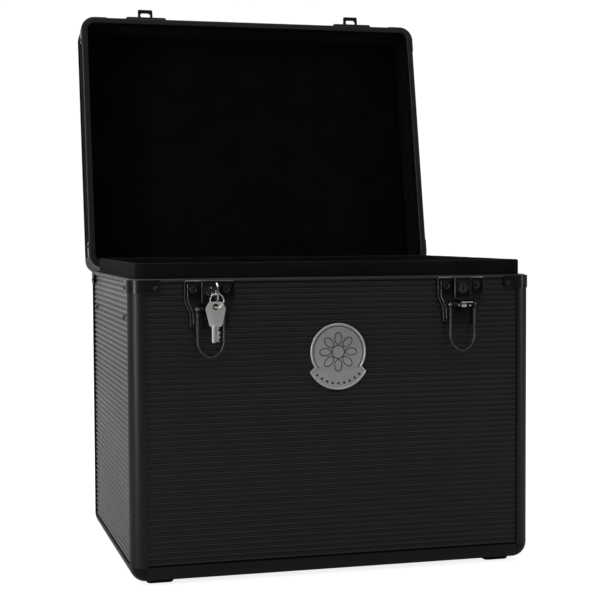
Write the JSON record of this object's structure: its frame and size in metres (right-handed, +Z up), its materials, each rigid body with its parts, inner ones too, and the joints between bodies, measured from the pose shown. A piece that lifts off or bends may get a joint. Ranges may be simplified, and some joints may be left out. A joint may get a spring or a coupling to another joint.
{
  "type": "footlocker",
  "caption": "Black aluminium-edged lidded transport case with a deep hinged lid, key-locked draw latches, velvet lining and a lift-out tray.",
  "frame": {"origin": "on the floor, under the middle of the whole object as it stands open", "axes": "+Z up, -Y out of the front with the latches, +X to the right seen from the front"},
  "size_m": [0.4036, 0.4472, 0.5893],
  "materials": {
    "black_laminate": "satin, ribbed",
    "black_aluminium": "satin",
    "black_steel": "satin",
    "bright_steel": "bright nickel",
    "key_metal": "bright nickel",
    "rivets": "satin",
    "velvet": "velvet",
    "rubber": "matt",
    "black_plastic": "fine grain",
    "badge": "satin"
  },
  "bodies": {
    "case": {"body_front_panel": "black_laminate", "body_back_panel": "black_laminate", "body_left_panel": "black_laminate", "body_right_panel": "black_laminate", "body_bottom_panel": "black_laminate", "body_corner_posts": "black_aluminium", "body_bottom_edges": "black_aluminium", "body_bottom_corner_caps": "black_steel", "body_rim_frame": "black_aluminium", "body_rim_brackets": "black_steel", "body_rivets": "rivets", "feet": "rubber", "lining_front": "velvet", "lining_back": "velvet", "lining_left": "velvet", "lining_right": "velvet", "lining_corners": "velvet", "lining_floor_pad": "velvet", "tray_ledge_left": "black_aluminium", "tray_ledge_right": "black_aluminium", "badge_plate": "badge", "hinge_body_leaves": "black_steel", "hinge_pins": "bright_steel", "latch_base_left": "black_steel", "latch_base_right": "black_steel", "latch_pin_left": "bright_steel", "latch_pin_right": "bright_steel", "latch_rivets": "rivets"},
    "lid": {"lid_top_panel": "black_laminate", "lid_front_panel": "black_laminate", "lid_back_panel": "black_laminate", "lid_left_panel": "black_laminate", "lid_right_panel": "black_laminate", "lid_corner_posts": "black_aluminium", "lid_top_edges": "black_aluminium", "lid_top_corner_caps": "black_steel", "lid_rim_frame": "black_aluminium", "lid_rim_brackets": "black_steel", "lid_rivets": "rivets", "lid_lining_pad": "velvet", "lid_lining_walls": "velvet", "keeper_left": "black_steel", "keeper_right": "black_steel", "hinge_lid_leaves": "black_steel", "handle_mount_left": "black_plastic", "handle_mount_right": "black_plastic", "handle_pins": "bright_steel"},
    "handle": {"handle_arms": "black_plastic", "handle_grip": "black_plastic"},
    "tray": {"tray": "black_plastic"},
    "lever_left": {"latch_lever_left": "black_steel"},
    "bail_left": {"latch_bail_left": "bright_steel"},
    "lock_left": {"lock_plug_left": "bright_steel", "key_in_lock": "key_metal"},
    "lever_right": {"latch_lever_right": "black_steel"},
    "bail_right": {"latch_bail_right": "bright_steel"},
    "lock_right": {"lock_plug_right": "bright_steel"},
    "keys": {"key_ring": "bright_steel", "spare_key": "key_metal"}
  },
  "joints": [
    {"name": "lid_hinge", "type": "hinge", "parent": "case", "child": "lid", "pos_m": [0, 0.1109, 0.2875], "axis": [-1, 0, 0], "range_deg": [-101, 0]},
    {"name": "handle_swing", "type": "hinge", "parent": "lid", "child": "handle", "pos_m": [0, 0.20824, 0.42139], "axis": [1, 0, 0], "range_deg": [-11, 84]},
    {"name": "tray_lift", "type": "slide", "parent": "case", "child": "tray", "axis": [0, 0, 1], "range_m": [0, 0.08]},
    {"name": "lever_left_fold", "type": "hinge", "parent": "case", "child": "lever_left", "pos_m": [-0.125, -0.1901, 0.259], "axis": [1, 0, 0], "range_deg": [0, 90]},
    {"name": "bail_left_swing", "type": "hinge", "parent": "case", "child": "bail_left", "pos_m": [-0.125, -0.1901, 0.259], "axis": [-1, 0, 0], "range_deg": [0, 175]},
    {"name": "lock_left_turn", "type": "hinge", "parent": "lever_left", "child": "lock_left", "pos_m": [-0.125, -0.1886, 0.2757], "axis": [0, 1, 0], "range_deg": [0, 90]},
    {"name": "lever_right_fold", "type": "hinge", "parent": "case", "child": "lever_right", "pos_m": [0.125, -0.1901, 0.259], "axis": [1, 0, 0], "range_deg": [0, 90]},
    {"name": "bail_right_swing", "type": "hinge", "parent": "case", "child": "bail_right", "pos_m": [0.125, -0.1901, 0.259], "axis": [-1, 0, 0], "range_deg": [0, 175]},
    {"name": "lock_right_turn", "type": "hinge", "parent": "lever_right", "child": "lock_right", "pos_m": [0.125, -0.1886, 0.2757], "axis": [0, 1, 0], "range_deg": [0, 90]},
    {"name": "keys_swing", "type": "hinge", "parent": "lock_left", "child": "keys", "pos_m": [-0.125, -0.2187, 0.2757], "axis": [1, 0, 0], "range_deg": [-90, 0]}
  ],
  "couplings": [
    {"joint": "keys_swing", "follows": "lever_left_fold", "ratio": -1}
  ]
}
